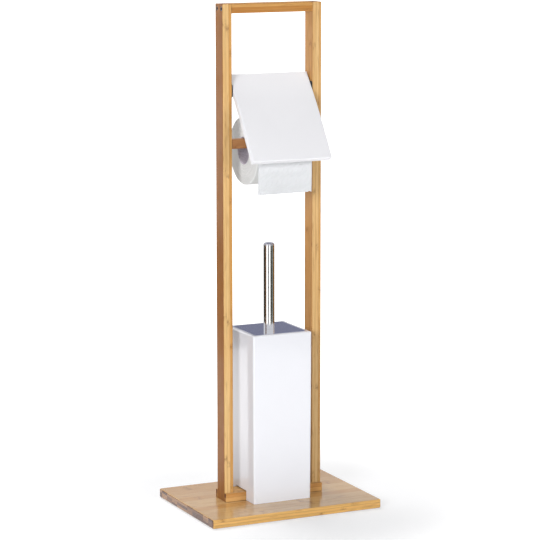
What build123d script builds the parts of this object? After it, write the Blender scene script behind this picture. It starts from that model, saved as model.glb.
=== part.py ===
"""Toilet butler: a bamboo stand with a covered paper roll above a white brush holder.

Units are millimetres. +X runs along the width, the front is towards -Y and +Z is up.
The origin is under the middle of the base board, on the floor.
"""
from build123d import *
import os
from math import acos, atan2, cos, degrees, hypot, pi, radians, sin, sqrt

os.makedirs("parts", exist_ok=True)

# Base board and its anti-slip pads
base_width = 300.0
base_depth = 220.0
base_thickness = 14.5
base_corner_radius = 3.0
base_edge_radius = 2.0
pad_radius = 9.0
pad_proud = 0.5
pad_pocket = 1.5
pad_inset = 24.0

# Frame: two posts, a top bar and a foot rail
frame_height = 820.0
frame_width = 174.0
post_width = 16.0
post_depth = 28.0
top_bar_height = 15.0
rail_height = 14.0
rail_lip = 6.0
arris = 1.0

# Connecting screws of the top bar, two at each end
bar_screw_spacing = 16.0
bar_screw_radius = 2.5
bar_screw_head_radius = 3.9
bar_screw_head_height = 3.5
bar_screw_length = 48.0
bar_screw_sunk = 0.6
hex_socket = 4.0
hex_socket_depth = 2.4

# Countersunk screws through the base board
base_screw_radius = 2.2
base_screw_head_radius = 4.4
base_screw_head_height = 2.6
base_screw_length = 45.0
rail_screw_offset = 34.0

# Toilet roll with its cardboard core
roll_radius = 55.0
roll_width = 95.0
roll_edge_radius = 1.6
core_bore_radius = 21.0
core_wall = 1.2
roll_centre_y = -5.0
roll_centre_z = 586.0
wrap_gap = 0.1

# Loose sheet that hangs from the roll
sheet_width = 94.0
sheet_thickness = 0.7
sheet_drop = 65.5
sheet_wrap_angle = 84.0
sheet_sway = 3.0

# Square bar that carries the roll, with a dowel in each end
roll_bar_section = 15.0
roll_bar_end_gap = 0.6
roll_dowel_radius = 4.0
roll_dowel_grip = 12.0
roll_dowel_reach = 6.0
roll_slot_angle = 45.0
roll_slot_end_gap = 0.6

# Cover panel: a slightly bowed board that rests on the roll
cover_length = 160.0
cover_thickness = 10.0
cover_bow_radius = 1280.0
cover_edge_radius = 1.5
cover_pivot_y = -5.4
cover_pivot_z = 688.8
cover_pivot_setback = 21.0
cover_pin_radius = 2.0
cover_pin_grip = 10.0
cover_pin_reach = 8.0

# Bush plates that carry the cover's pins in the posts
bush_flange_thickness = 1.4
bush_flange_height = 21.0
bush_flange_corner = 4.0
bush_barrel_radius = 3.5
bush_barrel_length = 9.0
bush_top_margin = 4.5
bush_screw_radius = 1.3
bush_screw_head_radius = 2.4
bush_screw_length = 11.0
bush_screw_below_pivot = 11.5

# Brush holder: a tapered square shell with a channel over the rail
holder_width = 104.0
holder_foot_width = 102.0
holder_height = 277.0
holder_corner_radius = 3.0
holder_wall = 3.0
holder_rim_radius = 2.6
holder_rim_width = 6.4
holder_ledge = 3.6
holder_collar_height = 6.0
holder_channel_height = 16.0
channel_rib = 2.5

# Lid and handle of the brush
lid_width = 90.0
lid_thickness = 1.5
lid_corner_radius = 1.2
lid_proud = 0.4
handle_radius = 9.0
handle_wall = 1.0
handle_length = 137.6
cap_height = 3.0
cap_chamfer = 1.2
cap_spigot = 10.0
plug_length = 16.0
washer_radius = 13.0
washer_thickness = 1.6

# Stem, hub and bristles of the brush
stem_radius = 6.0
stud_radius = 4.0
stud_grip = 11.0
stem_spigot_radius = 4.0
stem_spigot_length = 18.0
hub_radius = 13.0
hub_sleeve = 1.8
hub_length = 54.0
neck_radius = 9.5
neck_length = 14.0
bristle_reach = 37.5
bristle_root = 1.5
bristle_tip = 0.9
bristle_ring_count = 8
bristle_count_per_ring = 34
crown_rings = ((20.0, 28), (41.0, 21), (63.0, 12))
brush_floor_gap = 3.5

# Clearances
fit_gap = 0.05
slide_gap = 0.3
seat_gap = 0.5
side_gap = 0.4

# Levels and places worked out from the sizes
base_top = pad_proud + base_thickness
post_inner = frame_width / 2 - post_width
post_middle = frame_width / 2 - post_width / 2
rail_depth = post_depth + 2 * rail_lip
rail_top = base_top + rail_height
bar_bottom = frame_height - top_bar_height
cover_half_width = post_inner - bush_flange_thickness - side_gap
rim_top = base_top + holder_height
lid_top = rim_top + lid_proud
lid_bottom = lid_top - lid_thickness
holder_floor_under = base_top + holder_channel_height
holder_floor = holder_floor_under + holder_wall
hub_crown_centre = holder_floor + brush_floor_gap + bristle_reach
hub_top = hub_crown_centre + hub_length
roll_bar_top = roll_centre_z + sqrt((core_bore_radius - slide_gap) ** 2 - (roll_bar_section / 2) ** 2)
roll_bar_middle = roll_bar_top - roll_bar_section / 2
roll_bar_half = post_inner - roll_bar_end_gap
SIDES = {"left": -1, "right": 1}
FULL_TURN = 360


def block(x, y, z):
    """Box between two corners, each given as (low, high) along its axis."""
    size = [high - low for low, high in (x, y, z)]
    middle = [(high + low) / 2 for low, high in (x, y, z)]
    return Pos(*middle) * Box(*size)


def rod_x(x_from, x_to, y, z, radius):
    """Cylinder along X between two places."""
    middle = (x_from + x_to) / 2
    return Pos(middle, y, z) * Rot(0, 90, 0) * Cylinder(radius, abs(x_to - x_from))


def rod_z(x, y, z_from, z_to, radius):
    """Upright cylinder between two levels."""
    return Pos(x, y, (z_from + z_to) / 2) * Cylinder(radius, z_to - z_from)


def eased(solid, axis, radius):
    """Round the straight edges that run along one axis."""
    return fillet(solid.edges().filter_by(axis), radius)


def square_prism(z_from, z_to, width_from, width_to, corner):
    """Upright tapered square prism with rounded corners."""
    low = Pos(0, 0, z_from) * RectangleRounded(width_from, width_from, corner)
    high = Pos(0, 0, z_to) * RectangleRounded(width_to, width_to, corner)
    return loft([low, high])


def holder_outline(z, inset):
    """Width of the tapered holder at a level, less a wall on each side."""
    share = (z - base_top) / holder_height
    return holder_foot_width + (holder_width - holder_foot_width) * share - 2 * inset


def save(solid, name):
    """Write one node."""
    solid.label = name
    export_step(solid, os.path.join("parts", name + ".step"))


# Places of the fasteners
def pad_places():
    """Centres of the four pads."""
    x = base_width / 2 - pad_inset
    y = base_depth / 2 - pad_inset
    return [(sx * x, sy * y) for sx in (-1, 1) for sy in (-1, 1)]


def base_screw_places():
    """Screws through the base board: one into each post and two into the rail."""
    places = [(side * post_middle, 0.0) for side in SIDES.values()]
    places += [(side * rail_screw_offset, 0.0) for side in SIDES.values()]
    return places


def base_screw_length_at(x):
    """A screw under the rail is shorter than one that goes up into a post."""
    if abs(x) < post_inner:
        return base_thickness + rail_height - seat_gap * 4
    return base_screw_length


def bar_screw_ys():
    """Depth places of the two screws at each end of the top bar."""
    return (-bar_screw_spacing / 2, bar_screw_spacing / 2)


def countersunk_screw(length, shank, head_radius, head_height, drive):
    """Countersunk screw along +Z with its head's flat face at the origin."""
    head = Pos(0, 0, head_height / 2) * Cone(head_radius, shank, head_height)
    tip = 2 * shank
    body = rod_z(0, 0, head_height, length - tip, shank)
    point = Pos(0, 0, length - tip / 2) * Cone(shank, shank * 0.2, tip)
    slot = block((-drive, drive), (-drive / 5, drive / 5), (0, head_height * 0.45))
    return head + body + point - slot - Rot(0, 0, 90) * slot


# Base board
def make_base_plate():
    """Board with rounded corners, eased edges, pad pockets and screw holes."""
    half_x = base_width / 2
    half_y = base_depth / 2
    board = block((-half_x, half_x), (-half_y, half_y), (pad_proud, base_top))
    board = eased(board, Axis.Z, base_corner_radius)
    rims = board.faces().filter_by(Axis.Z).edges()
    board = fillet(rims, base_edge_radius)
    for x, y in pad_places():
        board -= rod_z(x, y, pad_proud, pad_proud + pad_pocket, pad_radius + fit_gap)
    for x, y in base_screw_places():
        board -= rod_z(x, y, pad_proud, base_top, base_screw_radius + fit_gap)
        sink = base_screw_head_height
        flare = Cone(base_screw_head_radius, base_screw_radius, sink)
        board -= Pos(x, y, pad_proud + seat_gap + sink / 2) * flare
        board -= rod_z(x, y, pad_proud, pad_proud + seat_gap, base_screw_head_radius)
    return board


def make_foot_pads():
    """Four soft discs seated in the board's pockets."""
    pads = []
    for x, y in pad_places():
        pad = rod_z(x, y, 0, pad_proud + pad_pocket, pad_radius)
        pads.append(fillet(pad.edges().group_by(Axis.Z)[0], pad_proud / 2))
    return Compound(children=pads)


def make_base_screws():
    """Countersunk screws that hold the posts and the rail to the board."""
    screws = []
    for x, y in base_screw_places():
        screw = countersunk_screw(
            base_screw_length_at(x),
            base_screw_radius,
            base_screw_head_radius,
            base_screw_head_height,
            base_screw_head_radius * 0.6,
        )
        screws.append(Pos(x, y, pad_proud + seat_gap) * screw)
    return Compound(children=screws)


def base_screw_holes():
    """Holes that the base screws fill above the board."""
    holes = []
    for x, y in base_screw_places():
        top = pad_proud + seat_gap + base_screw_length_at(x)
        holes.append(rod_z(x, y, base_top, top + seat_gap, base_screw_radius + fit_gap))
    return holes


# Frame
def make_foot_rail():
    """Rail across the base, slotted at both ends so that each post passes through."""
    half = frame_width / 2
    rail = block((-half, half), (-rail_depth / 2, rail_depth / 2), (base_top, rail_top))
    rail = eased(rail, Axis.X, arris)
    for side in SIDES.values():
        ends = sorted((side * post_inner, side * (half + arris)))
        rail -= block(ends, (-post_depth / 2, post_depth / 2), (base_top, rail_top))
    for hole in base_screw_holes():
        rail -= hole
    return rail


def roll_slot(side):
    """Slanted slot in a post's inner face, open at the rear, for the bar's dowel."""
    slot_radius = roll_dowel_radius + slide_gap
    depth = roll_dowel_reach + roll_slot_end_gap
    run = (post_depth / 2 - roll_centre_y) / cos(radians(roll_slot_angle)) + 3 * slot_radius
    seat = rod_x(0, depth, 0, 0, slot_radius)
    way = block((0, depth), (0, run), (-slot_radius, slot_radius))
    slot = Rot(roll_slot_angle, 0, 0) * (seat + way)
    if side < 0:
        slot = mirror(slot, Plane.YZ)
    return Pos(side * post_inner, roll_centre_y, roll_bar_middle) * slot


def bush_middle_z():
    """Level of the middle of a bush plate."""
    return cover_pivot_z + bush_top_margin - bush_flange_height / 2


def make_post(side):
    """Post that stands on the board, with its holes, its slot and eased edges."""
    outer = side * frame_width / 2
    inner = side * post_inner
    half_depth = post_depth / 2
    post = block(sorted((inner, outer)), (-half_depth, half_depth), (base_top, frame_height))
    post = eased(post, Axis.Z, arris)
    post = fillet(post.edges().group_by(Axis.Z)[-1], arris * 0.6)
    post -= roll_slot(side)
    barrel = bush_barrel_length + seat_gap
    post -= rod_x(inner, inner + side * barrel, cover_pivot_y, cover_pivot_z, bush_barrel_radius + fit_gap)
    screw_z = cover_pivot_z - bush_screw_below_pivot
    reach = inner + side * (bush_screw_length + seat_gap)
    post -= rod_x(inner, reach, cover_pivot_y, screw_z, bush_screw_radius + fit_gap)
    bar_middle = (bar_bottom + frame_height) / 2
    for y in bar_screw_ys():
        sunk = side * (bar_screw_sunk + bar_screw_head_height)
        post -= rod_x(inner, outer, y, bar_middle, bar_screw_radius + fit_gap)
        post -= rod_x(outer - sunk, outer, y, bar_middle, bar_screw_head_radius + fit_gap)
    for hole in base_screw_holes():
        post -= hole
    return post


def make_top_bar():
    """Bar between the posts at the top, held by screws in its ends."""
    half = post_depth / 2
    bar = block((-post_inner, post_inner), (-half, half), (bar_bottom, frame_height))
    bar = eased(bar, Axis.X, arris * 0.6)
    reach = bar_screw_length - post_width + bar_screw_sunk + seat_gap
    for side in SIDES.values():
        for y in bar_screw_ys():
            end = side * post_inner
            middle = (bar_bottom + frame_height) / 2
            bar -= rod_x(end - side * reach, end, y, middle, bar_screw_radius + fit_gap)
    return bar


def make_top_bar_screws():
    """Four connecting screws with hexagon sockets in the posts' outer faces."""
    head = Pos(0, 0, bar_screw_head_height / 2) * Cylinder(bar_screw_head_radius, bar_screw_head_height)
    head = chamfer(head.edges().group_by(Axis.Z)[0], bar_screw_head_height / 8)
    shank = rod_z(0, 0, bar_screw_head_height, bar_screw_length, bar_screw_radius)
    shank = chamfer(shank.edges().group_by(Axis.Z)[-1], bar_screw_radius / 2)
    socket = extrude(RegularPolygon(hex_socket / 2, 6, major_radius=False), hex_socket_depth)
    screw = head + shank - socket
    middle = (bar_bottom + frame_height) / 2
    screws = []
    for side in SIDES.values():
        for y in bar_screw_ys():
            face = side * (frame_width / 2 - bar_screw_sunk)
            screws.append(Pos(face, y, middle) * Rot(0, -90 * side, 0) * screw)
    return Compound(children=screws)


# Cover
def cover_arc():
    """Centre of the cover's bow and the direction from there to its pivot.

    The cover lies on the loose sheet, with a small gap, so its lean follows
    from the roll: the bow's centre is a known distance from pivot and roll.
    """
    to_roll_y = roll_centre_y - cover_pivot_y
    to_roll_z = roll_centre_z - cover_pivot_z
    pivot_to_roll = hypot(to_roll_y, to_roll_z)
    wrapped = roll_radius + 2 * slide_gap + sheet_thickness
    bow_to_roll = cover_bow_radius - cover_thickness / 2 - wrapped
    share = cover_bow_radius ** 2 + pivot_to_roll ** 2 - bow_to_roll ** 2
    corner = acos(share / (2 * cover_bow_radius * pivot_to_roll))
    towards = atan2(to_roll_z, to_roll_y) + corner
    centre_y = cover_pivot_y + cover_bow_radius * cos(towards)
    centre_z = cover_pivot_z + cover_bow_radius * sin(towards)
    return centre_y, centre_z, towards + pi


def make_cover_panel():
    """Bowed board with eased edges and a pin hole in each side."""
    centre_y, centre_z, pivot_angle = cover_arc()
    top_angle = pivot_angle - cover_pivot_setback / cover_bow_radius
    bottom_angle = top_angle + cover_length / cover_bow_radius

    def rim(radius, angle):
        return (centre_y + radius * cos(angle), centre_z + radius * sin(angle))

    front = cover_bow_radius + cover_thickness / 2
    rear = cover_bow_radius - cover_thickness / 2
    middle_angle = (top_angle + bottom_angle) / 2
    outline = [
        ThreePointArc(rim(front, top_angle), rim(front, middle_angle), rim(front, bottom_angle)),
        Line(rim(front, bottom_angle), rim(rear, bottom_angle)),
        ThreePointArc(rim(rear, bottom_angle), rim(rear, middle_angle), rim(rear, top_angle)),
        Line(rim(rear, top_angle), rim(front, top_angle)),
    ]
    panel = extrude(Plane.YZ * make_face(Curve() + outline), cover_half_width, both=True)
    panel = fillet(panel.edges(), cover_edge_radius)
    for side in SIDES.values():
        end = side * cover_half_width
        depth = side * (cover_pin_grip + seat_gap)
        panel -= rod_x(end - depth, end, cover_pivot_y, cover_pivot_z, cover_pin_radius + fit_gap)
    return panel


def make_cover_pin(side):
    """Steel pin fixed in the cover's edge that turns in the bush."""
    end = side * cover_half_width
    tip = side * (post_inner + cover_pin_reach)
    pin = rod_x(end - side * cover_pin_grip, tip, cover_pivot_y, cover_pivot_z, cover_pin_radius)
    return chamfer(pin.edges().filter_by(GeomType.CIRCLE), cover_pin_radius / 5)


def make_cover_bush(side):
    """Plate with a barrel in the post, screwed to the post's inner face."""
    face = side * post_inner
    width = post_depth / 2 + cover_pivot_y
    plate = Plane.YZ * RectangleRounded(2 * width - arris / 2, bush_flange_height, bush_flange_corner)
    plate = extrude(plate, -side * bush_flange_thickness)
    bush = Pos(face, cover_pivot_y, bush_middle_z()) * plate
    barrel_end = face + side * bush_barrel_length
    bush += rod_x(face, barrel_end, cover_pivot_y, cover_pivot_z, bush_barrel_radius)
    inside = face - side * bush_flange_thickness
    bush -= rod_x(inside, barrel_end, cover_pivot_y, cover_pivot_z, cover_pin_radius + fit_gap)
    screw_z = cover_pivot_z - bush_screw_below_pivot
    bush -= rod_x(inside, face, cover_pivot_y, screw_z, bush_screw_radius + fit_gap)
    flare = Cone(bush_screw_head_radius + fit_gap, bush_screw_radius + fit_gap, bush_flange_thickness)
    bush -= Pos((inside + face) / 2, cover_pivot_y, screw_z) * Rot(0, 90 * side, 0) * flare
    return bush


def make_cover_bush_screws():
    """Small countersunk screws that hold the bush plates."""
    screws = []
    for side in SIDES.values():
        screw = countersunk_screw(
            bush_screw_length,
            bush_screw_radius,
            bush_screw_head_radius,
            bush_flange_thickness,
            bush_screw_head_radius * 0.6,
        )
        place = side * (post_inner - bush_flange_thickness)
        z = cover_pivot_z - bush_screw_below_pivot
        screws.append(Pos(place, cover_pivot_y, z) * Rot(0, 90 * side, 0) * screw)
    return Compound(children=screws)


# Toilet roll
def make_roll_bar():
    """Square bar between the posts with a dowel hole in each end."""
    half = roll_bar_section / 2
    ys = (roll_centre_y - half, roll_centre_y + half)
    bar = block((-roll_bar_half, roll_bar_half), ys, (roll_bar_top - roll_bar_section, roll_bar_top))
    bar = eased(bar, Axis.X, arris * 0.8)
    for side in SIDES.values():
        end = side * roll_bar_half
        depth = side * (roll_dowel_grip + seat_gap)
        bar -= rod_x(end - depth, end, roll_centre_y, roll_bar_middle, roll_dowel_radius + fit_gap)
    return bar


def make_roll_dowel(side):
    """Dowel in the bar's end that seats in the post's slot."""
    start = side * (roll_bar_half - roll_dowel_grip)
    end = side * (post_inner + roll_dowel_reach)
    dowel = rod_x(start, end, roll_centre_y, roll_bar_middle, roll_dowel_radius)
    return chamfer(dowel.edges().filter_by(GeomType.CIRCLE), roll_dowel_radius / 6)


def make_roll_core():
    """Cardboard tube that hangs on the bar."""
    half = roll_width / 2
    outer = rod_x(-half, half, roll_centre_y, roll_centre_z, core_bore_radius + core_wall)
    return outer - rod_x(-half, half, roll_centre_y, roll_centre_z, core_bore_radius)


def make_roll_paper():
    """Wound paper with softly rounded outer edges."""
    half = roll_width / 2
    paper = rod_x(-half, half, roll_centre_y, roll_centre_z, roll_radius)
    paper = fillet(paper.edges().filter_by(GeomType.CIRCLE), roll_edge_radius)
    bore = core_bore_radius + core_wall + wrap_gap
    return paper - rod_x(-half, half, roll_centre_y, roll_centre_z, bore)


def make_paper_sheet():
    """Loose sheet: it leaves the roll's front and hangs down with a slight sway."""
    inner = roll_radius + slide_gap
    outer = inner + sheet_thickness
    start = pi - radians(sheet_wrap_angle)
    middle = (start + pi) / 2

    def rim(radius, angle):
        return (roll_centre_y + radius * cos(angle), roll_centre_z + radius * sin(angle))

    def hang(radius, share):
        back = sheet_sway * share ** 2
        return (roll_centre_y - radius + back, roll_centre_z - sheet_drop * share)

    outline = [
        ThreePointArc(rim(outer, start), rim(outer, middle), rim(outer, pi)),
        Spline([hang(outer, 0), hang(outer, 0.5), hang(outer, 1)], tangents=[(0, -1), (0.09, -1)]),
        Line(hang(outer, 1), hang(inner, 1)),
        Spline([hang(inner, 1), hang(inner, 0.5), hang(inner, 0)], tangents=[(-0.09, 1), (0, 1)]),
        ThreePointArc(rim(inner, pi), rim(inner, middle), rim(inner, start)),
        Line(rim(inner, start), rim(outer, start)),
    ]
    return extrude(Plane.YZ * make_face(Curve() + outline), sheet_width / 2, both=True)


# Brush holder
def make_holder_shell():
    """Tapered shell with a rounded rim, a ledge for the lid and a channel for the rail."""
    shell = square_prism(base_top, rim_top, holder_foot_width, holder_width, holder_corner_radius)
    shell = fillet(shell.faces().sort_by(Axis.Z)[-1].edges(), holder_rim_radius)

    recess_floor = lid_bottom
    recess_width = holder_width - 2 * holder_rim_width
    ledge_width = recess_width - 2 * holder_ledge
    collar_bottom = recess_floor - holder_collar_height
    flare_bottom = collar_bottom - holder_ledge - holder_rim_width + holder_wall
    wall_inset = holder_wall
    inner_low = holder_outline(holder_floor, wall_inset)
    inner_high = holder_outline(flare_bottom, wall_inset)
    corner = holder_corner_radius - holder_wall / 3

    shell -= square_prism(holder_floor, flare_bottom, inner_low, inner_high, corner)
    shell -= square_prism(flare_bottom, collar_bottom, inner_high, ledge_width, corner)
    shell -= square_prism(collar_bottom, recess_floor, ledge_width, ledge_width, corner)
    shell -= square_prism(recess_floor, rim_top, recess_width, recess_width, corner)

    under_low = holder_outline(base_top, wall_inset)
    under_high = holder_outline(holder_floor_under, wall_inset)
    hollow = square_prism(base_top, holder_floor_under, under_low, under_high, corner)
    channel_half = rail_depth / 2 + seat_gap
    for sign in (-1, 1):
        rib = sorted((sign * channel_half, sign * (channel_half + channel_rib)))
        hollow -= block((-holder_width, holder_width), rib, (base_top, holder_floor_under))
    shell -= hollow
    return shell - block((-holder_width, holder_width), (-channel_half, channel_half), (base_top, holder_floor_under))


# Brush
def make_lid_plate():
    """Square steel plate with a hole for the stud."""
    corner = min(lid_corner_radius, lid_width / 4)
    plate = extrude(Pos(0, 0, lid_bottom) * RectangleRounded(lid_width, lid_width, corner), lid_thickness)
    return plate - rod_z(0, 0, lid_bottom, lid_top, stud_radius + fit_gap)


def make_handle_tube():
    """Steel tube that stands on the lid."""
    top = lid_top + handle_length
    tube = rod_z(0, 0, lid_top, top, handle_radius)
    return tube - rod_z(0, 0, lid_top, top, handle_radius - handle_wall)


def make_handle_cap():
    """Chamfered end cap with a spigot in the tube."""
    seat = lid_top + handle_length
    cap = rod_z(0, 0, seat, seat + cap_height, handle_radius)
    cap = chamfer(cap.edges().group_by(Axis.Z)[-1], cap_chamfer)
    return cap + rod_z(0, 0, seat - cap_spigot, seat, handle_radius - handle_wall - fit_gap)


def make_handle_plug():
    """Plug in the tube's foot that the stud screws into."""
    plug = rod_z(0, 0, lid_top, lid_top + plug_length, handle_radius - handle_wall - fit_gap)
    return plug - rod_z(0, 0, lid_top, lid_top + stud_grip + seat_gap, stud_radius + fit_gap)


def make_lid_washer():
    """Soft washer between the lid and the stem's shoulder."""
    low = lid_bottom - washer_thickness
    return rod_z(0, 0, low, lid_bottom, washer_radius) - rod_z(0, 0, low, lid_bottom, stud_radius + fit_gap)


def make_brush_stem():
    """Turned rod: stud at the top, shoulder under the lid and a spigot in the hub."""
    shoulder = lid_bottom - washer_thickness
    foot = hub_top + neck_length
    profile = Polyline(
        (0, foot - stem_spigot_length),
        (stem_spigot_radius, foot - stem_spigot_length),
        (stem_spigot_radius, foot),
        (stem_radius, foot),
        (stem_radius, shoulder),
        (stud_radius, shoulder),
        (stud_radius, lid_top + stud_grip),
        (0, lid_top + stud_grip),
        close=True,
    )
    return revolve(Plane.XZ * make_face(profile), Axis.Z)


def make_brush_hub():
    """Hub with a domed crown, a tapered neck and a socket for the stem."""
    top = hub_top + neck_length
    core = rod_z(0, 0, hub_crown_centre, hub_top, hub_radius)
    core += Pos(0, 0, hub_crown_centre) * Sphere(hub_radius)
    core += Pos(0, 0, hub_top + neck_length / 2) * Cone(hub_radius, neck_radius, neck_length)
    return core - rod_z(0, 0, top - stem_spigot_length - seat_gap, top, stem_spigot_radius + fit_gap)


def strand(root_radius, height, tilt, turn):
    """Four-sided tapered bristle that points out from the hub's axis or crown."""
    start = root_radius - bristle_root / 2
    root = Pos(0, 0, start) * Rectangle(bristle_root, bristle_root)
    tip = Pos(0, 0, bristle_reach) * Rectangle(bristle_tip, bristle_tip)
    return Pos(0, 0, height) * Rot(0, 0, turn) * Rot(0, 90 + tilt, 0) * loft([root, tip])


def make_brush_bristles():
    """Rings of bristles round the hub and over its crown, on a thin sleeve."""
    sleeve_radius = hub_radius + fit_gap + hub_sleeve
    sleeve = rod_z(0, 0, hub_crown_centre, hub_top, sleeve_radius)
    sleeve += Pos(0, 0, hub_crown_centre) * Sphere(sleeve_radius)
    hollow = rod_z(0, 0, hub_crown_centre, hub_top, hub_radius + fit_gap)
    hollow += Pos(0, 0, hub_crown_centre) * Sphere(hub_radius + fit_gap)
    sleeve -= hollow
    strands = []
    pitch = (hub_length - 2 * bristle_root) / (bristle_ring_count - 1)
    for ring in range(bristle_ring_count):
        height = hub_crown_centre + bristle_root + ring * pitch
        step_angle = FULL_TURN / bristle_count_per_ring
        shift = (ring % 2) * step_angle / 2
        for step in range(bristle_count_per_ring):
            turn = shift + step_angle * step
            strands.append(strand(sleeve_radius, height, 0, turn))
    for tilt, count in crown_rings:
        for step in range(count):
            strands.append(strand(sleeve_radius, hub_crown_centre, tilt, FULL_TURN * step / count))
    return sleeve.fuse(*strands)


def main():
    """Build and write every node."""
    save(make_base_plate(), "base_plate")
    save(make_foot_pads(), "foot_pads")
    save(make_base_screws(), "base_screws")
    save(make_foot_rail(), "foot_rail")
    save(make_top_bar(), "top_bar")
    save(make_top_bar_screws(), "top_bar_screws")
    for name, side in SIDES.items():
        save(make_post(side), name + "_post")
        save(make_cover_pin(side), "cover_pin_" + name)
        save(make_cover_bush(side), "cover_bush_" + name)
        save(make_roll_dowel(side), "roll_bar_dowel_" + name)
    save(make_cover_bush_screws(), "cover_bush_screws")
    save(make_cover_panel(), "cover_panel")
    save(make_roll_bar(), "roll_bar")
    save(make_roll_core(), "roll_core")
    save(make_roll_paper(), "roll_paper")
    save(make_paper_sheet(), "paper_sheet")
    save(make_holder_shell(), "holder_shell")
    save(make_lid_plate(), "lid_plate")
    save(make_handle_tube(), "handle_tube")
    save(make_handle_cap(), "handle_cap")
    save(make_handle_plug(), "handle_plug")
    save(make_lid_washer(), "lid_washer")
    save(make_brush_stem(), "brush_stem")
    save(make_brush_hub(), "brush_hub")
    save(make_brush_bristles(), "brush_bristles")


if __name__ == "__main__":
    main()
    print("cover lean from upright:", round(180 - degrees(cover_arc()[2]), 2))
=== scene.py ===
"""Finishes, light and camera for the toilet butler.

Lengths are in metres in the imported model's own frame: +X along the width, the front towards -Y, +Z up
and the origin on the floor under the middle of the base board. Values named _mm are millimetres.
"""
import logging
import math
import random
from dataclasses import dataclass, field
from enum import Enum
from typing import Callable, Optional, Sequence, Union

import bpy
from mathutils import Matrix, Vector, noise


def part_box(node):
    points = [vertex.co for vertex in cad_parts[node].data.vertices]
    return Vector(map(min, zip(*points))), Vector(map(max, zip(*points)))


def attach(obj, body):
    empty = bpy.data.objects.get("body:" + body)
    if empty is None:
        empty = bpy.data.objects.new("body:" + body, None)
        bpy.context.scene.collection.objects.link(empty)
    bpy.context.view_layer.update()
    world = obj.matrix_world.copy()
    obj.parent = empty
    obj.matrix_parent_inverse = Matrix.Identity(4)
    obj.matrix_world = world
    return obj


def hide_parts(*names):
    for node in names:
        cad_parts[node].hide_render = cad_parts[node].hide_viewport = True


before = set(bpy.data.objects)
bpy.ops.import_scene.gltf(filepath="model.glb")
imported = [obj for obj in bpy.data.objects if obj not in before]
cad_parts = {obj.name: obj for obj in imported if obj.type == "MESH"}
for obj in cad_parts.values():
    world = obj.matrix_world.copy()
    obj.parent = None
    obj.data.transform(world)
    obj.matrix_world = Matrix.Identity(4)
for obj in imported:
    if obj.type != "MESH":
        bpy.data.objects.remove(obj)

log = logging.getLogger("toilet_butler")

MM = 0.001
Socket = bpy.types.NodeSocket
Value = Union[Socket, float, int, Sequence[float]]
Outline = list[tuple[float, float]]

# Places of the colour sockets on a Mix node
MIX_SHARE = 0
MIX_LOW = 6
MIX_HIGH = 7
MIX_RESULT = 2

# Display colours that the wood and the board share between their pieces
STAIN_BROWN = (150, 94, 46)
FIBRE_BROWN = (150, 92, 44)
SEAM_BROWN = (136, 80, 38)
RING_BROWN = (124, 70, 32)
PORE_BROWN = (70, 38, 20)
PAINTED_EDGE_HIGHLIGHT = (236, 196, 142)
DRAINED_WOOD = (206, 204, 204)
PULP_GREY = (112, 104, 110)


class GrainAxis(Enum):
    """Axis that the bamboo fibres of a piece follow."""

    WIDTH = "along the stand's width"
    HEIGHT = "upright"


class FaceAxis(Enum):
    """Axis that a face looks along, as its place in a vector."""

    X = 0
    Y = 1
    Z = 2


def linear(red: int, green: int, blue: int) -> tuple[float, float, float, float]:
    """Turn a display colour into the shader's linear colour.

    Args:
        red: Red from 0 to 255.
        green: Green from 0 to 255.
        blue: Blue from 0 to 255.

    Returns:
        Linear red, green and blue with full alpha.
    """
    channels = []
    for level in (red, green, blue):
        share = level / 255
        channels.append(share / 12.92 if share <= 0.04045 else ((share + 0.055) / 1.055) ** 2.4)
    return (*channels, 1.0)


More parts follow.
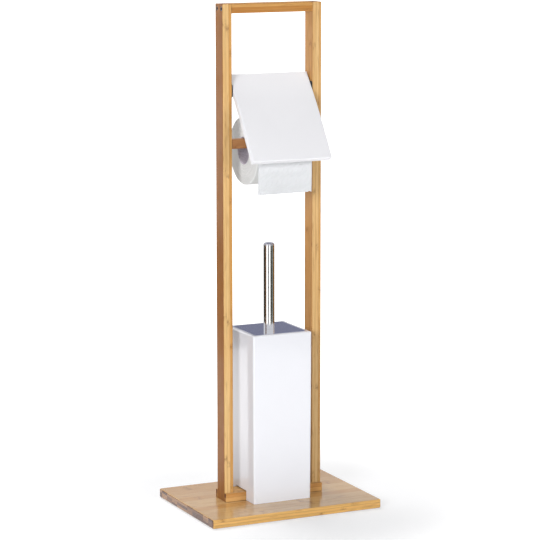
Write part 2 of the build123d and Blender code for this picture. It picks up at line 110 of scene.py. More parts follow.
class NodeBench:
    """Places the nodes of one tree and wires them."""

    def __init__(self, tree: bpy.types.NodeTree) -> None:
        """Take the tree to work in.

        Args:
            tree: Node tree of a material, a world or a group.
        """
        self.tree = tree

    def node(self, kind: str, **settings: object) -> bpy.types.Node:
        """Add a node.

        Args:
            kind: Node type after ShaderNode.
            settings: Properties to set on it.

        Returns:
            The new node.
        """
        made = self.tree.nodes.new("ShaderNode" + kind)
        for name, value in settings.items():
            setattr(made, name, value)
        return made

    def put(self, socket: Socket, value: Value) -> None:
        """Link a socket to another one, or set it to a constant.

        Args:
            socket: Input socket.
            value: Output socket to link, or the constant.
        """
        if isinstance(value, bpy.types.NodeSocket):
            self.tree.links.new(value, socket)
        else:
            socket.default_value = value

    def math(self, operation: str, *values: Value, clamp: bool = False) -> Socket:
        """Work out a number.

        Args:
            operation: Name of the operation.
            values: Its operands, as sockets or numbers.
            clamp: True to keep the result from 0 to 1.

        Returns:
            The result's socket.
        """
        made = self.node("Math", operation=operation, use_clamp=clamp)
        for socket, value in zip(made.inputs, values):
            self.put(socket, value)
        return made.outputs[0]

    def vector(self, operation: str, *values: Value) -> Socket:
        """Work out a vector.

        Args:
            operation: Name of the operation.
            values: Its operands, as sockets or triples.

        Returns:
            The result's socket.
        """
        made = self.node("VectorMath", operation=operation)
        for socket, value in zip(made.inputs, values):
            self.put(socket, value)
        return made.outputs["Value"] if operation in ("LENGTH", "DOT_PRODUCT") else made.outputs[0]

    def split(self, vector: Socket) -> tuple[Socket, Socket, Socket]:
        """Take a vector apart into its three numbers.

        Args:
            vector: The vector's socket.

        Returns:
            Sockets of X, Y and Z.
        """
        made = self.node("SeparateXYZ")
        self.put(made.inputs[0], vector)
        return tuple(made.outputs)

    def join(self, x: Value, y: Value, z: Value) -> Socket:
        """Make a vector of three numbers.

        Args:
            x: First number.
            y: Second number.
            z: Third number.

        Returns:
            The vector's socket.
        """
        made = self.node("CombineXYZ")
        for socket, value in zip(made.inputs, (x, y, z)):
            self.put(socket, value)
        return made.outputs[0]

    def mix(self, share: Value, low: Value, high: Value, blend: str = "MIX") -> Socket:
        """Blend two colours.

        Args:
            share: How much of the second colour shows.
            low: First colour.
            high: Second colour.
            blend: Blend type.

        Returns:
            The colour's socket.
        """
        made = self.node("Mix", data_type="RGBA", blend_type=blend)
        self.put(made.inputs[MIX_SHARE], share)
        self.put(made.inputs[MIX_LOW], low)
        self.put(made.inputs[MIX_HIGH], high)
        return made.outputs[MIX_RESULT]

    def tint(self, colour: Value, tone: Value) -> Socket:
        """Multiply a colour by a tone.

        Args:
            colour: The colour.
            tone: Number to multiply it by.

        Returns:
            The colour's socket.
        """
        return self.mix(1.0, colour, tone, "MULTIPLY")

    def step(self, value: Value, low: float, high: float, start: float = 0.0, end: float = 1.0) -> Socket:
        """Turn a number smoothly from one level to another.

        Args:
            value: Number to read.
            low: Where the turn begins.
            high: Where the turn ends.
            start: Result at and before low.
            end: Result at and after high.

        Returns:
            The result's socket.
        """
        made = self.node("MapRange", interpolation_type="SMOOTHSTEP")
        for socket, amount in zip(made.inputs, (value, low, high, start, end)):
            self.put(socket, amount)
        return made.outputs[0]

    def cloud(self, place: Socket, grain_mm: Sequence[float], detail: float = 2.0) -> Socket:
        """Smooth noise whose patches have a size along each axis.

        Args:
            place: Position in millimetres.
            grain_mm: Size of a patch along X, Y and Z.
            detail: Number of finer layers.

        Returns:
            Socket of a number around 0.5.
        """
        made = self.node("TexNoise")
        scaled = self.vector("DIVIDE", place, tuple(grain_mm))
        self.put(made.inputs["Vector"], scaled)
        self.put(made.inputs["Scale"], 1.0)
        self.put(made.inputs["Detail"], detail)
        return made.outputs[0]

    def coordinates_mm(self, kind: str) -> Socket:
        """Texture coordinates in millimetres.

        Args:
            kind: Name of the coordinates.

        Returns:
            The position's socket.
        """
        coordinates = self.node("TexCoord")
        made = self.node("VectorMath", operation="SCALE")
        self.put(made.inputs[0], coordinates.outputs[kind])
        self.put(made.inputs["Scale"], 1 / MM)
        return made.outputs[0]

    def place_mm(self) -> Socket:
        """Position on the resting object, in millimetres.

        Returns:
            The position's socket.
        """
        return self.coordinates_mm("Object")

    def flat_mm(self) -> Socket:
        """Position on a piece's flattened surface, in millimetres.

        Returns:
            The position's socket.
        """
        return self.coordinates_mm("UV")

    def facing(self, axis: FaceAxis) -> Socket:
        """Mask of the faces that look along an axis, either way.

        Args:
            axis: The axis.

        Returns:
            Socket of a number from 0 to 1.
        """
        coordinates = self.node("TexCoord")
        along = self.split(coordinates.outputs["Normal"])[axis.value]
        return self.step(self.math("ABSOLUTE", along), 0.6, 0.8)

    def bump(self, height: Socket, depth_mm: float, normal: Optional[Socket] = None) -> Socket:
        """Relief from a height of 0 to 1.

        Args:
            height: Height's socket.
            depth_mm: Depth that a height of 1 stands for.
            normal: Normal to start from.

        Returns:
            The normal's socket.
        """
        made = self.node("Bump")
        self.put(made.inputs["Strength"], 1.0)
        self.put(made.inputs["Distance"], depth_mm * MM)
        self.put(made.inputs["Height"], height)
        if normal is not None:
            self.put(made.inputs["Normal"], normal)
        return made.outputs[0]

    def effect(self, group: "Effect", **values: Value) -> dict[str, Socket]:
        """Place a node group.

        Args:
            group: The effect to place.
            values: Value or socket for each named input.

        Returns:
            Output sockets by name.
        """
        made = self.node("Group", node_tree=group.tree())
        for name, value in values.items():
            self.put(made.inputs[name], value)
        return {socket.name: socket for socket in made.outputs}


@dataclass(frozen=True)
class Effect:
    """Shader node group that several materials place with their own values.

    Attributes:
        name: Name of the group.
        inputs: Name and default of each input; a triple makes a vector input.
        outputs: Name and socket type of each output.
        wiring: Function that lays the nodes and gives the output sockets in order.
    """

    name: str
    inputs: tuple[tuple[str, Value], ...]
    outputs: tuple[tuple[str, str], ...]
    wiring: Callable[[NodeBench, dict[str, Socket]], tuple[Socket, ...]]

    def tree(self) -> bpy.types.NodeTree:
        """Give the group's tree, built the first time that it is asked for.

        Returns:
            The node tree.
        """
        built = bpy.data.node_groups.get(self.name)
        if built is not None:
            return built
        built = bpy.data.node_groups.new(self.name, "ShaderNodeTree")
        for name, default in self.inputs:
            kind = "NodeSocketVector" if isinstance(default, tuple) else "NodeSocketFloat"
            socket = built.interface.new_socket(name=name, in_out="INPUT", socket_type=kind)
            socket.default_value = default
        for name, kind in self.outputs:
            built.interface.new_socket(name=name, in_out="OUTPUT", socket_type="NodeSocket" + kind)
        source = built.nodes.new("NodeGroupInput")
        sink = built.nodes.new("NodeGroupOutput")
        named = {socket.name: socket for socket in source.outputs if socket.name}
        for socket, value in zip(sink.inputs, self.wiring(NodeBench(built), named)):
            built.links.new(value, socket)
        return built


def wire_lamellae(bench: NodeBench, inputs: dict[str, Socket]) -> tuple[Socket, ...]:
    """Lay the nodes of bamboo strips that are glued side by side.

    Args:
        bench: Bench of the group.
        inputs: Place in millimetres with the fibres along Z, strip width and thickness, and a seed.

    Returns:
        Tone of each strip, glue seam, node ring, long streaks, fine fibres and stains, each from 0 to 1.
    """
    node_pitch_mm = 235.0
    scatter_mm = (300.0, 300.0, 300.0)
    streak_mm = (1.9, 1.9, 120.0)
    fibre_mm = (0.42, 0.42, 26.0)
    wobble_mm = (2.4, 2.4, 60.0)
    wobble_depth_mm = 7.0
    break_mm = (3.4, 3.4, 6.0)
    stain_mm = (4.2, 4.2, 34.0)
    width, thickness = inputs["Strip Width"], inputs["Strip Thickness"]
    x, y, z = bench.split(inputs["Place"])
    column = bench.math("DIVIDE", x, width)
    row = bench.math("DIVIDE", y, thickness)
    cell = bench.join(bench.math("FLOOR", column), bench.math("FLOOR", row), inputs["Seed"])
    chance = bench.node("TexWhiteNoise", noise_dimensions="3D")
    bench.put(chance.inputs["Vector"], cell)
    tone = chance.outputs["Value"]
    phase, bend, _ = bench.split(chance.outputs["Color"])

    def to_seam(count: Socket, size: Socket) -> Socket:
        """Distance to the nearest seam between strips.

        Args:
            count: Place across the strips, counted in strips.
            size: Size of a strip in millimetres.

        Returns:
            Socket of the distance in millimetres.
        """
        share = bench.math("FRACT", count)
        nearest = bench.math("MINIMUM", share, bench.math("SUBTRACT", 1.0, share))
        return bench.math("MULTIPLY", nearest, size)

    seam_distance = bench.math("MINIMUM", to_seam(column, width), to_seam(row, thickness))
    seam = bench.step(seam_distance, 0.08, 0.34, 1.0, 0.0)

    scatter = bench.vector("MULTIPLY", chance.outputs["Color"], scatter_mm)
    shifted = bench.vector("ADD", inputs["Place"], scatter)
    streak = bench.cloud(shifted, streak_mm, 3.0)
    fibre = bench.cloud(shifted, fibre_mm, 2.0)

    wobble = bench.math("MULTIPLY", bench.cloud(shifted, wobble_mm, 1.0), wobble_depth_mm)
    along = bench.math("DIVIDE", bench.math("ADD", z, wobble), node_pitch_mm)
    turn = bench.math("FRACT", bench.math("ADD", along, bench.math("ADD", phase, bend)))
    off_middle = bench.math("ABSOLUTE", bench.math("SUBTRACT", turn, 0.5))
    off_ring = bench.math("MULTIPLY", off_middle, node_pitch_mm)
    ring = bench.step(off_ring, 0.4, 1.7, 0.75, 0.0)
    halo = bench.step(off_ring, 1.0, 9.0, 0.7, 0.0)
    broken = bench.step(bench.cloud(shifted, break_mm, 2.0), 0.36, 0.6)
    node_ring = bench.math("MULTIPLY", bench.math("ADD", ring, halo, clamp=True), broken)
    stain = bench.step(bench.cloud(shifted, stain_mm, 2.0), 0.56, 0.74)
    return tone, seam, node_ring, streak, fibre, stain


def wire_soft_edges(bench: NodeBench, inputs: dict[str, Socket]) -> tuple[Socket, ...]:
    """Lay the nodes that round a sharp edge in the shading.

    Args:
        bench: Bench of the group.
        inputs: Radius in metres.

    Returns:
        Rounded normal, and a mask of the edges.
    """
    rounded = bench.node("Bevel", samples=6)
    bench.put(rounded.inputs["Radius"], inputs["Radius"])
    flat = bench.node("NewGeometry").outputs["Normal"]
    agreement = bench.vector("DOT_PRODUCT", rounded.outputs[0], flat)
    return rounded.outputs[0], bench.step(agreement, 0.75, 0.995, 1.0, 0.0)


def wire_handling(bench: NodeBench, inputs: dict[str, Socket]) -> tuple[Socket, ...]:
    """Lay the nodes of the faint film that hands and wiping leave.

    Args:
        bench: Bench of the group.
        inputs: Place in millimetres, patch size in millimetres and strength.

    Returns:
        Tone to multiply a colour by and amount to add to a roughness.
    """
    size = bench.join(inputs["Patch"], inputs["Patch"], inputs["Patch"])
    place = bench.vector("DIVIDE", inputs["Place"], size)
    broad = bench.cloud(place, (1.0, 1.0, 1.4), 3.0)
    fine = bench.cloud(place, (0.11, 0.11, 0.11), 1.0)
    patch = bench.step(broad, 0.4, 0.7)
    darkening = bench.math("MULTIPLY", patch, bench.math("MULTIPLY", inputs["Strength"], 0.12))
    tone = bench.math("SUBTRACT", 1.0, darkening)
    grease = bench.math("ADD", patch, bench.math("MULTIPLY", fine, 0.4))
    rough = bench.math("MULTIPLY", grease, inputs["Strength"])
    return tone, rough


def wire_brushing(bench: NodeBench, inputs: dict[str, Socket]) -> tuple[Socket, ...]:
    """Lay the nodes of fine lines that brushing and drawing leave in metal.

    Args:
        bench: Bench of the group.
        inputs: Place in millimetres and the size of a line along each axis.

    Returns:
        Line height from 0 to 1.
    """
    stretched = bench.vector("DIVIDE", inputs["Place"], inputs["Line Size"])
    return (bench.cloud(stretched, (1.0, 1.0, 1.0), 3.0),)


def wire_emboss(bench: NodeBench, inputs: dict[str, Socket]) -> tuple[Socket, ...]:
    """Lay the nodes of soft quilting in paper: rows of dots between slanted waves.

    Args:
        bench: Bench of the group.
        inputs: Place on the flattened paper in millimetres and the distance between dots.

    Returns:
        Height from 0 to 1 and a faint tone to multiply a colour by.
    """
    u, v, _ = bench.split(inputs["Place"])
    bend_turn_per_mm = 0.32
    bend_depth_mm = 2.2
    wave_turn_per_mm = 0.74
    turn = bench.math("DIVIDE", 2 * math.pi, inputs["Pitch"])
    across = bench.math("MULTIPLY", bench.math("ADD", u, v), turn)
    down = bench.math("MULTIPLY", bench.math("SUBTRACT", u, v), turn)
    dots = bench.math("MULTIPLY", bench.math("SINE", across), bench.math("SINE", down))
    bend = bench.math("SINE", bench.math("MULTIPLY", v, bend_turn_per_mm))
    bend = bench.math("MULTIPLY", bend, bend_depth_mm)
    slant = bench.math("ADD", bench.math("ADD", u, bend), v)
    waves = bench.math("SINE", bench.math("MULTIPLY", slant, wave_turn_per_mm))
    fluff = bench.cloud(inputs["Place"], (0.8, 0.8, 0.8), 3.0)
    crease = bench.cloud(inputs["Place"], (7.0, 12.0, 7.0), 2.0)
    ridge = bench.step(waves, 0.55, 0.98)
    height = bench.math("ADD", bench.math("MULTIPLY", dots, 0.22), bench.math("MULTIPLY", ridge, 0.5))
    height = bench.math("ADD", height, bench.math("MULTIPLY", fluff, 0.35))
    height = bench.math("ADD", height, bench.math("MULTIPLY", crease, 0.9))
    tone = bench.math("ADD", 0.955, bench.math("MULTIPLY", crease, 0.09))
    return height, tone


LAMELLAE = Effect(
    "bamboo_lamellae",
    (("Place", (0.0, 0.0, 0.0)), ("Strip Width", 5.0), ("Strip Thickness", 7.0), ("Seed", 0.0)),
    (
        ("Tone", "Float"),
        ("Seam", "Float"),
        ("Node Ring", "Float"),
        ("Streak", "Float"),
        ("Fibre", "Float"),
        ("Stain", "Float"),
    ),
    wire_lamellae,
)
SOFT_EDGES = Effect(
    "soft_edges",
    (("Radius", 0.0005),),
    (("Normal", "Vector"), ("Edge", "Float")),
    wire_soft_edges,
)
HANDLING = Effect(
    "handling_film",
    (("Place", (0.0, 0.0, 0.0)), ("Patch", 18.0), ("Strength", 0.1)),
    (("Tone", "Float"), ("Rough", "Float")),
    wire_handling,
)
BRUSHING = Effect(
    "brushed_lines",
    (("Place", (0.0, 0.0, 0.0)), ("Line Size", (1.0, 1.0, 1.0))),
    (("Height", "Float"),),
    wire_brushing,
)
EMBOSS = Effect(
    "paper_quilting",
    (("Place", (0.0, 0.0, 0.0)), ("Pitch", 2.0)),
    (("Height", "Float"), ("Tone", "Float")),
    wire_emboss,
)


class Finish:
    """A surface finish, built as a material the first time that it is used.

    Attributes:
        name: Name of the finish.
    """

    name: str

    def shade(self, bench: NodeBench, surface: bpy.types.Node) -> None:
        """Lay the finish's nodes and wire them to its surface shader.

        Args:
            bench: Bench of the material.
            surface: Its surface shader.
        """
        raise NotImplementedError

    def material(self) -> bpy.types.Material:
        """Give the finish's material, under a name that no packed material has.

        Returns:
            The material.
        """
        title = self.name + "_finish"
        built = bpy.data.materials.get(title)
        if built is not None:
            return built
        built = bpy.data.materials.new(title)
        built.use_nodes = True
        built.node_tree.nodes.clear()
        bench = NodeBench(built.node_tree)
        surface = bench.node("BsdfPrincipled")
        output = bench.node("OutputMaterial")
        bench.put(output.inputs["Surface"], surface.outputs[0])
        self.shade(bench, surface)
        return built


@dataclass(frozen=True)
class Bamboo(Finish):
    """Strip-glued bamboo under clear satin lacquer.

    Attributes:
        name: Name of the finish.
        grain: Axis that the fibres follow.
        pale: Colour of the palest strips.
        deep: Colour of the deepest strips.
        narrow_side_and_shade: Colour of faces where the strips show their narrow side, on the posts
            darkened by painted shade.
        narrow_face: Axis that those faces look along.
        strip_width_mm: Width of a strip.
        strip_thickness_mm: Thickness of a strip.
        shift_mm: Where the seams fall.
        seed: Chooses the strips' tones and rings.
        end_pale: Palest colour of the end grain.
        end_deep: Deepest colour of the end grain.
        gloss: Weight of the lacquer's shine.
        bounce: How far the light that it throws on other pieces is drained of colour.
    """

    name: str
    grain: GrainAxis
    pale: tuple[int, int, int]
    deep: tuple[int, int, int]
    narrow_side_and_shade: tuple[int, int, int]
    narrow_face: FaceAxis
    strip_width_mm: float
    strip_thickness_mm: float
    shift_mm: tuple[float, float, float]
    seed: float
    end_pale: tuple[int, int, int] = (196, 142, 84)
    end_deep: tuple[int, int, int] = (104, 58, 28)
    gloss: float = 0.15
    bounce: float = 0.6

    def strip_place(self, bench: NodeBench) -> tuple[Socket, FaceAxis]:
        """Turn the place so that the fibres run along Z.

        Args:
            bench: Bench of the material.

        Returns:
            The place in millimetres, and the axis that the end grain looks along.
        """
        place = bench.place_mm()
        end_axis = FaceAxis.Z
        if self.grain is GrainAxis.WIDTH:
            x, y, z = bench.split(place)
            place = bench.join(y, z, x)
            end_axis = FaceAxis.X
        return bench.vector("ADD", place, self.shift_mm), end_axis

    def side_colour(self, bench: NodeBench, strips: dict[str, Socket]) -> Socket:
        """Colour of the faces that the fibres run along.

        Args:
            bench: Bench of the material.
            strips: Sockets of the lamellae by name.

        Returns:
            The colour's socket.
        """
        streak = bench.step(strips["Streak"], 0.34, 0.66)
        shade = bench.math("MULTIPLY", bench.step(strips["Tone"], 0.3, 0.8), 0.75)
        shade = bench.math("ADD", shade, bench.math("MULTIPLY", streak, 0.42))
        colour = bench.mix(shade, linear(*self.pale), linear(*self.deep))
        lines = bench.math("SUBTRACT", 1.18, bench.math("MULTIPLY", streak, 0.3))
        lines = bench.math("SUBTRACT", lines, bench.math("MULTIPLY", strips["Tone"], 0.14))
        # Narrow-side colour; on the posts it is darkened by painted shade of their side faces.
        narrow_side_and_shade = bench.tint(linear(*self.narrow_side_and_shade), lines)
        colour = bench.mix(bench.facing(self.narrow_face), colour, narrow_side_and_shade)
        stain = bench.math("MULTIPLY", strips["Stain"], 0.34)
        colour = bench.mix(stain, colour, linear(*STAIN_BROWN))
        fibre = bench.step(strips["Fibre"], 0.48, 0.74, 0.0, 0.34)
        colour = bench.mix(fibre, colour, linear(*FIBRE_BROWN))
        seam = bench.math("MULTIPLY", strips["Seam"], 0.45)
        colour = bench.mix(seam, colour, linear(*SEAM_BROWN))
        ring = bench.math("MULTIPLY", strips["Node Ring"], 0.5)
        return bench.mix(ring, colour, linear(*RING_BROWN))

    def end_colour(self, bench: NodeBench, strips: dict[str, Socket], place: Socket) -> Socket:
        """Colour of the end grain, with its pores.

        Args:
            bench: Bench of the material.
            strips: Sockets of the lamellae by name.
            place: Place in millimetres with the fibres along Z.

        Returns:
            The colour's socket.
        """
        pore_mm = (0.35, 0.35, 40.0)
        shade = bench.step(strips["Tone"], 0.2, 0.8)
        pores = bench.step(bench.cloud(place, pore_mm, 2.0), 0.48, 0.66, 0.0, 0.5)
        colour = bench.mix(shade, linear(*self.end_pale), linear(*self.end_deep))
        return bench.mix(pores, colour, linear(*PORE_BROWN))

    def shade(self, bench: NodeBench, surface: bpy.types.Node) -> None:
        """Lay the finish's nodes.

        Args:
            bench: Bench of the material.
            surface: Its surface shader.
        """
        relief_mm = 0.05
        place, end_axis = self.strip_place(bench)
        strips = bench.effect(
            LAMELLAE,
            Place=place,
            Seed=self.seed,
            **{"Strip Width": self.strip_width_mm, "Strip Thickness": self.strip_thickness_mm},
        )
        edges = bench.effect(SOFT_EDGES, Radius=0.9 * MM)
        film = bench.effect(HANDLING, Place=place, Patch=30.0, Strength=0.12)
        sides = self.side_colour(bench, strips)
        colour = bench.mix(bench.facing(end_axis), sides, self.end_colour(bench, strips, place))
        # Paler along the rounded edges: a painted highlight where they catch the light.
        colour = bench.mix(bench.math("MULTIPLY", edges["Edge"], 0.25), colour, linear(*PAINTED_EDGE_HIGHLIGHT))
        colour = bench.tint(colour, film["Tone"])
        thrown = bench.node("LightPath").outputs["Is Diffuse Ray"]
        drained = bench.math("MULTIPLY", thrown, self.bounce)
        bench.put(surface.inputs["Base Color"], bench.mix(drained, colour, linear(*DRAINED_WOOD)))
        roughness = bench.math("ADD", bench.step(strips["Fibre"], 0.3, 0.8, 0.4, 0.55), film["Rough"])
        bench.put(surface.inputs["Roughness"], roughness)
        surface.inputs["Specular IOR Level"].default_value = 0.26
        surface.inputs["Coat Weight"].default_value = self.gloss
        surface.inputs["Coat Roughness"].default_value = 0.16
        relief = bench.math("SUBTRACT", strips["Fibre"], bench.math("MULTIPLY", strips["Seam"], 0.9))
        relief = bench.math("SUBTRACT", relief, bench.math("MULTIPLY", strips["Node Ring"], 0.4))
        bench.put(surface.inputs["Normal"], bench.bump(relief, relief_mm, edges["Normal"]))


@dataclass(frozen=True)
class Coating(Finish):
    """Lacquer, moulded plastic or rubber: an even colour with its own skin.

    Attributes:
        name: Name of the finish.
        colour: Colour.
        roughness: Roughness of the clean surface.
        coat: Weight of the clear top layer.
        skin_mm: Size of the skin's ripples.
        skin_depth_mm: Depth of the skin's ripples.
        film: Strength of the handling film.
        edge_mm: Radius that sharp edges are shaded with.
    """

    name: str
    colour: tuple[int, int, int]
    roughness: float
    coat: float = 0.0
    skin_mm: float = 1.4
    skin_depth_mm: float = 0.01
    film: float = 0.05
    edge_mm: float = 0.4

    def shade(self, bench: NodeBench, surface: bpy.types.Node) -> None:
        """Lay the finish's nodes.

        Args:
            bench: Bench of the material.
            surface: Its surface shader.
        """
        place = bench.place_mm()
        film = bench.effect(HANDLING, Place=place, Patch=22.0, Strength=self.film)
        bench.put(surface.inputs["Base Color"], bench.tint(linear(*self.colour), film["Tone"]))
        bench.put(surface.inputs["Roughness"], bench.math("ADD", self.roughness, film["Rough"]))
        surface.inputs["Coat Weight"].default_value = self.coat
        surface.inputs["Coat Roughness"].default_value = 0.08
        edges = bench.effect(SOFT_EDGES, Radius=self.edge_mm * MM)
        skin = bench.cloud(place, (self.skin_mm, self.skin_mm, self.skin_mm), 2.0)
        bench.put(surface.inputs["Normal"], bench.bump(skin, self.skin_depth_mm, edges["Normal"]))


@dataclass(frozen=True)
class Steel(Finish):
    """Polished, brushed or plated steel.

    Attributes:
        name: Name of the finish.
        colour: Colour.
        roughness: Roughness of the clean surface.
        line_mm: Size of a brushing line along X, Y and Z.
        line_depth_mm: Depth of the lines.
        film: Strength of the handling film.
    """

    name: str
    colour: tuple[int, int, int]
    roughness: float
    line_mm: tuple[float, float, float]
    line_depth_mm: float = 0.002
    film: float = 0.05

    def shade(self, bench: NodeBench, surface: bpy.types.Node) -> None:
        """Lay the finish's nodes.

        Args:
            bench: Bench of the material.
            surface: Its surface shader.
        """
        place = bench.place_mm()
        film = bench.effect(HANDLING, Place=place, Patch=14.0, Strength=self.film)
        lines = bench.effect(BRUSHING, Place=place, **{"Line Size": self.line_mm})
        bench.put(surface.inputs["Base Color"], bench.tint(linear(*self.colour), film["Tone"]))
        surface.inputs["Metallic"].default_value = 1.0
        worn = bench.math("ADD", self.roughness, bench.math("MULTIPLY", lines["Height"], 0.05))
        bench.put(surface.inputs["Roughness"], bench.math("ADD", worn, film["Rough"]))
        edges = bench.effect(SOFT_EDGES, Radius=0.25 * MM)
        normal = bench.bump(lines["Height"], self.line_depth_mm, edges["Normal"])
        bench.put(surface.inputs["Normal"], normal)


@dataclass(frozen=True)
class Tissue(Finish):
    """Soft white paper with quilting.

    Attributes:
        name: Name of the finish.
        colour: Colour.
        pitch_mm: Distance between the dots of the quilting.
        depth_mm: Depth of the quilting.
        wound: True where the piece is a roll, whose end faces show the edges of the layers.
    """

    name: str
    colour: tuple[int, int, int]
    pitch_mm: float
    depth_mm: float
    wound: bool = False

    def shade(self, bench: NodeBench, surface: bpy.types.Node) -> None:
        """Lay the finish's nodes.

        Args:
            bench: Bench of the material.
            surface: Its surface shader.
        """
        place = bench.flat_mm()
        quilt = bench.effect(EMBOSS, Place=place, Pitch=self.pitch_mm)
        colour = bench.tint(linear(*self.colour), quilt["Tone"])
        height = quilt["Height"]
        if self.wound:
            end = bench.facing(FaceAxis.X)
            across, along, _ = bench.split(place)
            layers = bench.join(across, bench.math("MULTIPLY", along, 0.02), 0.0)
            ply = bench.cloud(layers, (0.34, 1.0, 1.0), 1.0)
            band = bench.cloud(layers, (2.6, 1.6, 1.0), 2.0)
            edge_tone = bench.math("MULTIPLY", bench.math("ADD", ply, band), 0.2)
            edge_tone = bench.math("ADD", 0.78, edge_tone)
            colour = bench.mix(end, colour, bench.tint(linear(*self.colour), edge_tone))
            edge_height = bench.math("ADD", ply, bench.math("MULTIPLY", band, 0.6))
            height = bench.mix(end, height, edge_height)
        bench.put(surface.inputs["Base Color"], colour)
        surface.inputs["Roughness"].default_value = 0.92
        surface.inputs["Sheen Weight"].default_value = 0.25
        surface.inputs["Sheen Roughness"].default_value = 0.6
        surface.inputs["Specular IOR Level"].default_value = 0.2
        bench.put(surface.inputs["Normal"], bench.bump(height, self.depth_mm))


@dataclass(frozen=True)
class Board(Finish):
    """Grey cardboard of the roll's core.

    Attributes:
        name: Name of the finish.
        colour: Colour.
    """

    name: str
    colour: tuple[int, int, int]

    def shade(self, bench: NodeBench, surface: bpy.types.Node) -> None:
        """Lay the finish's nodes.

        Args:
            bench: Bench of the material.
            surface: Its surface shader.
        """
        fleck_depth_mm = 0.04
        place = bench.place_mm()
        flecks = bench.cloud(place, (0.5, 0.5, 0.5), 3.0)
        pulp = bench.cloud(place, (4.0, 2.0, 2.0), 2.0)
        fleck_shade = bench.step(flecks, 0.55, 0.75, 0.0, 0.3)
        pulp_shade = bench.step(pulp, 0.4, 0.7, 0.0, 0.25)
        film = bench.effect(HANDLING, Place=place, Patch=9.0, Strength=0.2)
        shade = bench.math("ADD", fleck_shade, pulp_shade)
        colour = bench.mix(shade, linear(*self.colour), linear(*PULP_GREY))
        bench.put(surface.inputs["Base Color"], bench.tint(colour, film["Tone"]))
        surface.inputs["Roughness"].default_value = 0.85
        bench.put(surface.inputs["Normal"], bench.bump(flecks, fleck_depth_mm))


LEFT_POST_BAMBOO = Bamboo(
    "left_post_bamboo",
    GrainAxis.HEIGHT,
    pale=(236, 198, 136),
    deep=(210, 154, 84),
    # Narrow-side colour, darkened in part by painted shade of the post's left face.
    narrow_side_and_shade=(168, 112, 48),
    narrow_face=FaceAxis.X,
    strip_width_mm=5.3,
    strip_thickness_mm=9.5,
    shift_mm=(2.2, 1.0, 40.0),
    seed=4.0,
)
RIGHT_POST_BAMBOO = Bamboo(
    "right_post_bamboo",
    GrainAxis.HEIGHT,
    pale=(235, 199, 140),
    deep=(208, 152, 84),
    # Narrow-side colour, darkened in part by painted shade of the post's inner face.
    narrow_side_and_shade=(198, 144, 82),
    narrow_face=FaceAxis.X,
    strip_width_mm=5.3,
    strip_thickness_mm=9.5,
    shift_mm=(2.5, 1.0, 85.0),
    seed=1.0,
)
BAR_BAMBOO = Bamboo(
    "bar_bamboo",
    GrainAxis.WIDTH,
    pale=(216, 164, 94),
    deep=(186, 126, 58),
    narrow_side_and_shade=(202, 150, 84),
    narrow_face=FaceAxis.Z,
    strip_width_mm=9.5,
    strip_thickness_mm=5.2,
    shift_mm=(1.0, 2.2, 60.0),
    seed=5.0,
)
RAIL_BAMBOO = Bamboo(
    "rail_bamboo",
    GrainAxis.WIDTH,
    pale=(232, 180, 112),
    deep=(204, 144, 78),
    narrow_side_and_shade=(224, 174, 108),
    narrow_face=FaceAxis.Z,
    strip_width_mm=13.0,
    strip_thickness_mm=7.1,
    shift_mm=(6.0, -1.0, 15.0),
    seed=8.0,
)
# Darker than the other bamboo: painted shade of the bar under the cover.
ROLL_BAR_BAMBOO_PAINTED_SHADE = Bamboo(
    "roll_bar_bamboo_painted_shade",
    GrainAxis.WIDTH,
    pale=(184, 130, 82),
    deep=(154, 100, 58),
    narrow_side_and_shade=(188, 140, 96),
    narrow_face=FaceAxis.Z,
    strip_width_mm=7.6,
    strip_thickness_mm=8.0,
    shift_mm=(4.0, 3.0, 90.0),
    seed=2.0,
)
# Strip colours lifted paler than the board's own by painted light on its top.
BASE_BAMBOO_PAINTED_LIGHT = Bamboo(
    "base_bamboo_painted_light",
    GrainAxis.WIDTH,
    pale=(255, 220, 156),
    deep=(236, 184, 106),
    narrow_side_and_shade=(235, 182, 98),
    narrow_face=FaceAxis.Y,
    strip_width_mm=21.0,
    strip_thickness_mm=4.85,
    shift_mm=(7.0, -0.4, 20.0),
    seed=11.0,
    end_pale=(176, 126, 80),
    end_deep=(92, 50, 26),
    gloss=1.0,
)
WHITE_LACQUER = Coating("white_lacquer", (249, 248, 250), 0.34, coat=0.25, skin_mm=2.2, skin_depth_mm=0.012)
WHITE_PLASTIC = Coating("white_plastic", (243, 243, 247), 0.2, coat=0.8, skin_mm=3.0, skin_depth_mm=0.01)
HUB_PLASTIC = Coating("hub_plastic", (236, 238, 240), 0.4, skin_mm=1.0, skin_depth_mm=0.015, film=0.12)
BLACK_NYLON = Coating("black_nylon", (34, 34, 37), 0.48, skin_mm=0.5, skin_depth_mm=0.02, film=0.15)
PAD_RUBBER = Coating("pad_rubber", (52, 52, 54), 0.78, skin_mm=0.8, skin_depth_mm=0.04, film=0.2)
WASHER_RUBBER = Coating("washer_rubber", (196, 198, 200), 0.6, skin_mm=0.6, skin_depth_mm=0.02, film=0.2)
LID_STEEL = Steel("lid_steel", (190, 193, 210), 0.06, (3.0, 60.0, 3.0), 0.0012, film=0.03)
HANDLE_STEEL = Steel("handle_steel", (232, 232, 230), 0.04, (2.0, 2.0, 80.0), 0.0006)
CAP_STEEL = Steel("cap_steel", (200, 200, 210), 0.14, (1.2, 1.2, 1.2), 0.001)
# Dark bluish colour: a painted reflection on the heads of the top bar's screws.
SCREW_STEEL_PAINTED_REFLECTION = Steel("screw_steel_painted_reflection", (112, 124, 138), 0.3, (0.7, 0.7, 0.7), 0.004, film=0.2)
ZINC_STEEL = Steel("zinc_steel", (190, 196, 206), 0.3, (0.7, 0.7, 0.7), 0.004, film=0.2)
ROLL_TISSUE = Tissue("roll_tissue", (237, 237, 234), 2.3, 0.35, wound=True)
SHEET_TISSUE = Tissue("sheet_tissue", (231, 232, 233), 2.3, 0.6)
CORE_BOARD = Board("core_board", (214, 206, 216))
BRISTLE_NYLON = Coating("bristle_nylon", (238, 240, 244), 0.35, skin_mm=0.6, skin_depth_mm=0.01, film=0.1)


